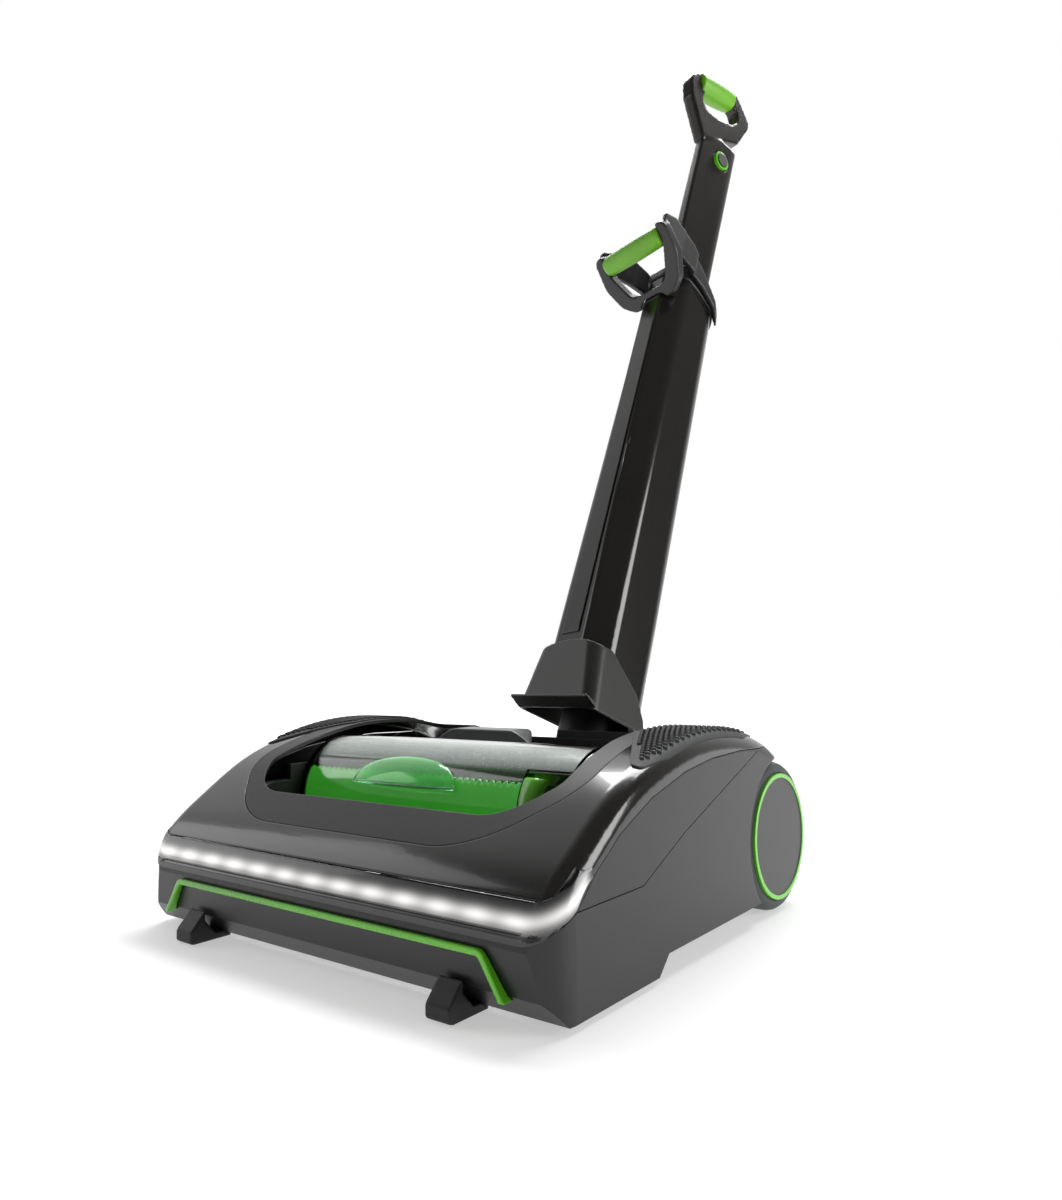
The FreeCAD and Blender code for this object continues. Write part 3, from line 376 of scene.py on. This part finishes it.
def arc_shell(name, radius, thick, low_x, high_x, start, stop, material, teeth=0.0):
    """Part of a tube about the bin's axis; angles run from the front upwards, teeth notch its upper edge."""
    count = int((high_x - low_x) / SHELL_STEP)
    turns = 40
    verts, faces = [], []
    for i in range(count + 1):
        x = low_x + (high_x - low_x) * i / count
        edge = teeth if i % 3 == 0 else 0.0
        for r in (radius, radius - thick):
            for k in range(turns + 1):
                turn = start + (stop - edge - start) * k / turns
                verts.append((x, AXIS_Y - r * math.cos(turn), AXIS_Z + r * math.sin(turn)))
    row = 2 * (turns + 1)
    for i in range(count):
        for k in range(turns):
            a = i * row + k
            faces.append((a, a + 1, a + 1 + row, a + row))
            b = a + turns + 1
            faces.append((b, b + row, b + 1 + row, b + 1))
        for k, flip in ((0, False), (turns, True)):
            a, b = i * row + k, i * row + k + turns + 1
            quad = (a, a + row, b + row, b)
            faces.append(quad[::-1] if flip else quad)
    for i, flip in ((0, False), (count, True)):
        for k in range(turns):
            a, b = i * row + k, i * row + k + turns + 1
            quad = (a, b, b + 1, a + 1)
            faces.append(quad[::-1] if flip else quad)
    return mesh_piece(name, "bin", material, verts, faces)


arc_shell("bin_liner", TUBE - 0.0024, 0.0016, tube_low.x + INSET, CAP_LOW - 0.0006,
          math.radians(-120), math.radians(33), GREEN_CLEAR, teeth=0.05)
# painted reflection: grey shell inside the upper rear of the tube, in place of the reflection of the white
# studio
arc_shell("bin_painted_reflection", TUBE - 0.0030, 0.0012, tube_low.x + INSET, tube_high.x - 0.001,
          math.radians(46), math.radians(175), REFLECTION_SHELL)


def bin_point(x, radius, degrees):
    """Point about the bin's axis; 0 degrees is the front and 90 the top."""
    turn = math.radians(degrees)
    return Vector((x, AXIS_Y - radius * math.cos(turn), AXIS_Z + radius * math.sin(turn)))


def eased(value):
    """Smooth step from 0 to 1."""
    value = min(max(value, 0.0), 1.0)
    return value * value * (3 - 2 * value)


def grid_piece(name, body, material, rows, thick, closed=False):
    """Sheet of equal rows of points, given a thickness along its normals."""
    count = len(rows[0])
    verts = [point for row in rows for point in row]
    faces = []
    for i in range(len(rows) - 1 + closed):
        j = (i + 1) % len(rows)
        faces += [(i * count + k, i * count + k + 1, j * count + k + 1, j * count + k)
                  for k in range(count - 1)]
    piece = mesh_piece(name, body, material, verts, faces)
    if thick:
        thicken = piece.modifiers.new("thicken", "SOLIDIFY")
        thicken.thickness = thick
        thicken.offset = 0.0
        graph = bpy.context.evaluated_depsgraph_get()
        done = bpy.data.meshes.new_from_object(piece.evaluated_get(graph))
        piece.modifiers.clear()
        piece.data = done
        done.shade_smooth()
    return piece


# end disc of the bin: full rim below the clear hood, drawn in above it
DISC_PROFILE = [(0.0, -0.012), (0.0, -0.0012), (0.0012, 0.0), (0.0088, 0.0), (0.0112, -0.0010),
                (0.0124, -0.0034), (0.0128, -0.0065), (0.0110, -0.0085), (0.0108, -0.024)]
DISC_ROWS = 144
DISC_GROOVE = 0.0062
DISC_BACK = 0.0108
rows = []
for i in range(DISC_ROWS):
    degrees = -180 + 360 / DISC_ROWS * i
    drawn = DISC_GROOVE * (eased((degrees - 36) / 6) - eased((degrees - 172) / 6))
    rim = TUBE + 0.0006 - drawn
    rows.append([bin_point(CAP_LOW, 0.004, degrees)]
                + [bin_point(CAP_LOW + along, rim + inward, degrees) for along, inward in DISC_PROFILE]
                + [bin_point(CAP_LOW + DISC_BACK, 0.001, degrees)])
disc = grid_piece("bin_disc", "bin", LIME, rows, 0.0, closed=True)
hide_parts("bin_end_cap")

# scooped lip that the bin is lifted by
lip_low, lip_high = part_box("bin_handle")
LIP_COLUMNS, LIP_ROWS = 60, 14
LIP_FOOT, LIP_TOP_END, LIP_TOP_RISE = 18, 21, 27
LIP_REACH = 0.0082
rows = []
for i in range(LIP_COLUMNS + 1):
    across = -1 + 2 * i / LIP_COLUMNS
    arch = math.sqrt(max(0.0, 1 - across ** 2))
    x = (lip_low.x + lip_high.x) / 2 + across * (lip_high.x - lip_low.x) / 2
    top = LIP_TOP_END + LIP_TOP_RISE * arch
    row = []
    for k in range(LIP_ROWS + 1):
        share = k / LIP_ROWS
        out = 0.0008 + LIP_REACH * arch * (1 - share) ** 0.7
        degrees = LIP_FOOT + (top - LIP_FOOT) * share + 3.0 * (1 - arch) * (1 - share)
        row.append(bin_point(x, TUBE + out, degrees))
    rows.append(row)
lip = grid_piece("bin_lip", "bin", LIP_GREEN, rows, 0.0012)
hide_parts("bin_handle")
edge = [row[0] for row in rows]
strand("bin_lip_edge", "bin", LIP_EDGE, edge, 0.0009)

# ---------------------------------------------------------------- light strip


def nearest_skin(start, aim, reach=0.09):
    """Closest point of the head's outer shells along a ray; beside a seam if the ray falls into one."""
    for lift in (0.0, 0.0007, -0.0007, 0.0014, -0.0014):
        origin = start + Vector((0, 0, lift))
        best = None
        for node in ("light_lens", "base_chassis", "top_cover", "side_panels"):
            hit, place, _, _ = NODES[node].ray_cast(origin, aim, distance=reach)
            if hit and (best is None or (place - origin).length < (best - origin).length):
                best = place
        if best is not None:
            return Vector((best.x, best.y, start.z))
    raise ValueError("no skin found from %s" % start)


HALF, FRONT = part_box("light_lens")[1].x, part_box("base_chassis")[0].y
CORNER = 0.018
SIDE_RUN = 0.0125
FACE_LOW, GLOW_MID, FACE_HIGH = 0.0365, 0.0458, 0.0532
SKIN_GAP = 0.0006
LAMP_PITCH = 0.0225
FRONT_STEPS, CORNER_STEPS, SIDE_STEPS, FACE_ROWS = 140, 14, 8, 18
CORNER_SHARE = 0.55
# each station is where a ray starts, which way it runs, and how far the strip has risen there (0 to 1)
stations = []
for i in range(FRONT_STEPS + 1):
    x = -(HALF - CORNER) + 2 * (HALF - CORNER) * i / FRONT_STEPS
    stations.append((Vector((x, FRONT - 0.05, 0)), Vector((0, 1, 0)), 0.0))
for side in (1, -1):
    ends = []
    heart = Vector((side * (HALF - CORNER), FRONT + CORNER, 0))
    for i in range(1, CORNER_STEPS + 1):
        turn = math.radians(90 * i / CORNER_STEPS)
        out = Vector((side * math.sin(turn), -math.cos(turn), 0))
        ends.append((heart + out * 0.07, -out, CORNER_SHARE * i / CORNER_STEPS))
    for i in range(1, SIDE_STEPS + 1):
        y = FRONT + CORNER + SIDE_RUN * i / SIDE_STEPS
        rise = CORNER_SHARE + (1 - CORNER_SHARE) * i / SIDE_STEPS
        ends.append((Vector((side * (HALF + 0.05), y, 0)), Vector((-side, 0, 0)), rise))
    stations = stations + ends if side > 0 else ends[::-1] + stations
rows, glows = [], []
for start, aim, rise in stations:
    low = FACE_LOW + 0.0215 * eased(rise) + 0.003 * rise
    mid = GLOW_MID + 0.0165 * eased(rise * 0.9)
    high = FACE_HIGH + 0.0125 * eased(rise)
    row, glow = [], []
    for k in range(FACE_ROWS + 1):
        z = low + (high - low) * k / FACE_ROWS
        start.z = z
        place = nearest_skin(start, aim)
        row.append(place - aim * SKIN_GAP)
        hump = 0.82 + 0.18 * math.cos(2 * math.pi * place.x / LAMP_PITCH)
        core = math.exp(-((z - mid) / 0.0028) ** 2)
        haze = 0.045 * math.exp(-((z - mid) / 0.0065) ** 2)
        glow.append((core * hump + haze) * (1 - eased((rise - 0.75) / 0.25)))
    rows.append(row)
    glows.append(glow)
face = grid_piece("light_face", "head", LIGHT_FACE, rows, 0.0)
levels = face.data.attributes.new("glow", "FLOAT", "POINT")
levels.data.foreach_set("value", [level for row in glows for level in row])

# ---------------------------------------------------------------- textured shoulder pads



def pad_surface(x, y, start=0.2):
    """Point and normal where a vertical line meets the pads from above."""
    hit, place, normal, _ = NODES["grip_pads"].ray_cast(Vector((x, y, start)), Vector((0, 0, -1)))
    return (place, normal) if hit else None


def box_faces(base, levels):
    """Sides, top and bottom of stacked squares whose corners start at base."""
    made = []
    for level in range(levels - 1):
        for c in range(4):
            n, low = (c + 1) % 4, base + 4 * level
            made.append((low + c, low + n, low + 4 + n, low + 4 + c))
    made.append(tuple(base + 4 * (levels - 1) + c for c in range(4)))
    made.append(tuple(base + 3 - c for c in range(4)))
    return made


SQUARE = ((-1, -1), (1, -1), (1, 1), (-1, 1))
pad_low, pad_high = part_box("grip_pads")
PITCH = 0.0031
PAD_INSIDE = 0.115
MARGIN = 0.0028
TOOTH = ((-0.0003, 0.0013), (0.0009, 0.0009), (0.0012, 0.0005))
for side, name in ((-1, "left"), (1, "right")):
    verts, faces = [], []
    for i in range(14):
        for k in range(int((pad_high.y - pad_low.y) / PITCH)):
            x = side * (PAD_INSIDE + (i + 0.5 * (k % 2)) * PITCH)
            y = pad_low.y + (k + 0.5) * PITCH
            around = [pad_surface(x + dx, y + dy) for dx in (-MARGIN, MARGIN) for dy in (-MARGIN, MARGIN)]
            if any(found is None or found[1].z < 0.3 for found in around):
                continue
            here, normal = pad_surface(x, y)
            across = normal.orthogonal().normalized()
            along = normal.cross(across)
            faces += box_faces(len(verts), len(TOOTH))
            for level, size in TOOTH:
                for a, b in SQUARE:
                    verts.append(here + normal * level + (across * a + along * b) * size)
    mesh_piece("pad_teeth_" + name, "head", RUBBER, verts, faces, smooth=False)

# ---------------------------------------------------------------- brush tufts

brush_low, brush_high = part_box("brush_bristles")
core_low, core_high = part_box("brush_roller")
BRUSH_Y, BRUSH_Z = (brush_low.y + brush_high.y) / 2, (brush_low.z + brush_high.z) / 2
TIP, CORE = (brush_high.z - brush_low.z) / 2, (core_high.z - core_low.z) / 2
TUFT_ROWS, TUFTS, HAIRS = 4, 62, 5
verts, faces = [], []
for row in range(TUFT_ROWS):
    for k in range(TUFTS):
        share = k / (TUFTS - 1)
        x = brush_low.x + 0.003 + (brush_high.x - brush_low.x - 0.006) * share
        sweep = 1.5 * abs(share - 0.5) * 2
        for _ in range(HAIRS):
            turn = row * math.pi / 2 + sweep + rng.uniform(-0.06, 0.06)
            lean = rng.uniform(-0.05, 0.05)
            shift = rng.uniform(-0.0012, 0.0012)
            faces += box_faces(len(verts), 2)
            reach = TIP - rng.uniform(0, 0.0012)
            for radius, size, bend in ((CORE - 0.001, 0.0004, 0.0), (reach, 0.00022, lean)):
                out = Vector((0, math.cos(turn + bend), math.sin(turn + bend)))
                round_dir = Vector((0, -out.z, out.y))
                for a, b in SQUARE:
                    verts.append(Vector((x + shift, BRUSH_Y, BRUSH_Z)) + out * radius
                                 + Vector((a * size, 0, 0)) + round_dir * b * size)
tufts = mesh_piece("brush_tufts", "brush", NYLON, verts, faces, smooth=False)
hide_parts("brush_bristles")

# ---------------------------------------------------------------- release spring

spring_low, spring_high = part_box("release_spring")
coil_centre = (spring_low + spring_high) / 2
WIRE = 0.0003
COIL_RADIUS = (spring_high.x - spring_low.x) / 2 - WIRE
COIL_TURNS, COIL_STEPS = 5, 120
COIL_RISE = spring_high.z - spring_low.z - 2 * WIRE
coil_points = []
for i in range(COIL_STEPS + 1):
    share = i / COIL_STEPS
    turn = 2 * math.pi * COIL_TURNS * share
    coil_points.append(Vector((coil_centre.x + COIL_RADIUS * math.cos(turn),
                               coil_centre.y + COIL_RADIUS * math.sin(turn),
                               spring_low.z + WIRE + COIL_RISE * share)))
coil = strand("release_coil", "head", STEEL, coil_points, WIRE)
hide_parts("release_spring")
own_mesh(coil)

# ---------------------------------------------------------------- grips


def bowed_grip(name, node, ends, radius, body, crown):
    """Grip between two points, a little fuller in the middle than at its ends."""
    start, stop = ends
    length = (stop - start).length
    profile = [(0.0, 0.0), (0.0, radius - 0.0022), (0.0006, radius - 0.0014)]
    for share in (i / 24 for i in range(1, 24)):
        profile.append((length * share, radius - crown * (2 * share - 1) ** 2))
    profile += [(length - 0.0006, radius - 0.0014), (length, radius - 0.0022), (length, 0.0)]
    grip = turned(name, body, LIME_GRIP, start, stop - start, profile, steps=64, closed=False)
    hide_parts(node)
    return grip


def rod_ends(node, axis):
    """Centres of the two end faces of a straight round rod, and its radius."""
    axis = Vector(axis).normalized()
    points = [v.co for v in NODES[node].data.vertices]
    along = [p.dot(axis) for p in points]
    low, high = min(along), max(along)
    ends = []
    for level in (low, high):
        face = [p for p, a in zip(points, along) if abs(a - level) < 1e-5]
        ends.append(sum(face, Vector()) / len(face))
    radius = max((p - ends[0] - axis * (p - ends[0]).dot(axis)).length for p in points)
    return ends, radius


JOINTS = {joint["name"]: joint for joint in frame["joints"]}
BODY_UP = Vector(JOINTS["body_steer"]["axis"]).normalized()
BODY_RIGHT = -Vector(JOINTS["power_press"]["axis"]).normalized()
BODY_FRONT = -Vector(JOINTS["battery_slide"]["axis"]).normalized()
ends, radius = rod_ends("carry_grip", BODY_RIGHT)
bowed_grip("carry_grip_cover", "carry_grip", ends, radius, "body", 0.0008)
GRIP_BACK, GRIP_RISE = 46.0, 21.5
GRIP_AXIS = BODY_UP * GRIP_RISE - BODY_FRONT * GRIP_BACK
GRIP_LIFT = (BODY_UP * GRIP_BACK + BODY_FRONT * GRIP_RISE).normalized() * 0.0016
ends, radius = rod_ends("handle_grip", GRIP_AXIS)
ends = [end + GRIP_LIFT for end in ends]
bowed_grip("handle_grip_cover", "handle_grip", ends, radius + 0.0012, "handle", 0.0014)

# ---------------------------------------------------------------- floor, light and camera


def area_light(name, place, target, size, power):
    """Rectangular lamp aimed at a point."""
    data = bpy.data.lights.new(name, "AREA")
    data.shape = "RECTANGLE"
    data.size, data.size_y = size
    data.energy = power
    lamp = bpy.data.objects.new(name, data)
    bpy.context.scene.collection.objects.link(lamp)
    lamp.location = place
    lamp.rotation_euler = (Vector(target) - Vector(place)).to_track_quat("-Z", "Y").to_euler()


def plane(name, half, z, material):
    """Level square."""
    mesh = bpy.data.meshes.new(name)
    corners = [(-half, -half, z), (half, -half, z), (half, half, z), (-half, half, z)]
    mesh.from_pydata(corners, [], [(0, 1, 2, 3)])
    mesh.materials.append(material)
    obj = bpy.data.objects.new(name, mesh)
    bpy.context.scene.collection.objects.link(obj)
    return obj


floor_shader = Shader("floor_white")
floor_tone = floor_shader.noise(3.0, 2.0)
floor_shader.link(floor_shader.mix(floor_tone, (0.60, 0.60, 0.60, 1), (0.64, 0.64, 0.64, 1)),
                  floor_shader.bsdf.inputs["Base Color"])
floor_shader.bsdf.inputs["Roughness"].default_value = 0.6
floor_shader.bsdf.inputs["Emission Color"].default_value = (1, 1, 1, 1)
# the floor brightens away from the machine, where the lamps reach it less
spot = floor_shader.node("ShaderNodeNewGeometry")
distance = floor_shader.node("ShaderNodeVectorMath", operation="LENGTH")
floor_shader.link(spot.outputs["Position"], distance.inputs[0])
floor_shader.link(floor_shader.spread(distance.outputs["Value"], 0.46, 1.0, 0.5, 2.6),
                  floor_shader.bsdf.inputs["Emission Strength"])
plane("floor", 9.0, -0.0004, floor_shader.material)

VIEW_YAW, VIEW_PITCH, VIEW_ROLL = math.radians(37.3), math.radians(4.5), math.radians(-1.0)
BEHIND = (-math.sin(VIEW_YAW), math.cos(VIEW_YAW), 0.15)


def studio_world(dark, bright):
    """White cyclorama behind the object that falls off to a dim room in front of it."""
    world = bpy.data.worlds.new("studio")
    world.use_nodes = True
    tree = world.node_tree
    tree.nodes["Background"].inputs["Color"].default_value = (1, 1, 1, 1)
    coords = tree.nodes.new("ShaderNodeTexCoord")
    dot = tree.nodes.new("ShaderNodeVectorMath")
    dot.operation = "DOT_PRODUCT"
    dot.inputs[1].default_value = BEHIND
    ramp = tree.nodes.new("ShaderNodeMapRange")
    ramp.interpolation_type = "SMOOTHSTEP"
    ramp.inputs["From Min"].default_value = 0.15
    ramp.inputs["From Max"].default_value = 0.75
    ramp.inputs["To Min"].default_value = dark
    ramp.inputs["To Max"].default_value = bright
    tree.links.new(coords.outputs["Generated"], dot.inputs[0])
    tree.links.new(dot.outputs["Value"], ramp.inputs["Value"])
    tree.links.new(ramp.outputs["Result"], tree.nodes["Background"].inputs["Strength"])
    bpy.context.scene.world = world


studio_world(0.16, 1.0)
area_light("key_top", (-0.3, 1.3, 2.3), (0, 0, 0.1), (2.4, 0.9), 75)
area_light("left_strip", (-1.4, -0.8, 0.8), (0, -0.1, 0.2), (0.6, 1.3), 4)
area_light("right_soft", (1.9, 0.5, 0.7), (0, 0, 0.2), (0.9, 1.0), 22)

FRAME_WIDE, FRAME_HIGH = 1062, 1200
FOCAL_PIXELS, CENTRE_ACROSS, CENTRE_DOWN = 900.0, 538.0, 592.6
SENSOR = 36.0
camera_data = bpy.data.cameras.new("camera")
camera_data.sensor_width = SENSOR
camera_data.lens = FOCAL_PIXELS / FRAME_HIGH * SENSOR
camera_data.shift_x = -(CENTRE_ACROSS - FRAME_WIDE / 2) / FRAME_HIGH
camera_data.shift_y = (CENTRE_DOWN - FRAME_HIGH / 2) / FRAME_HIGH
camera_data.clip_start = 0.02
camera = bpy.data.objects.new("camera", camera_data)
bpy.context.scene.collection.objects.link(camera)
CAMERA_PLACE = (0.3818, -0.57983, 0.1552)
camera.matrix_world = (Matrix.Translation(CAMERA_PLACE) @ Matrix.Rotation(VIEW_YAW, 4, "Z")
                       @ Matrix.Rotation(math.pi / 2 + VIEW_PITCH, 4, "X")
                       @ Matrix.Rotation(VIEW_ROLL, 4, "Z"))
bpy.context.scene.camera = camera
bpy.context.scene.view_settings.view_transform = "Standard"
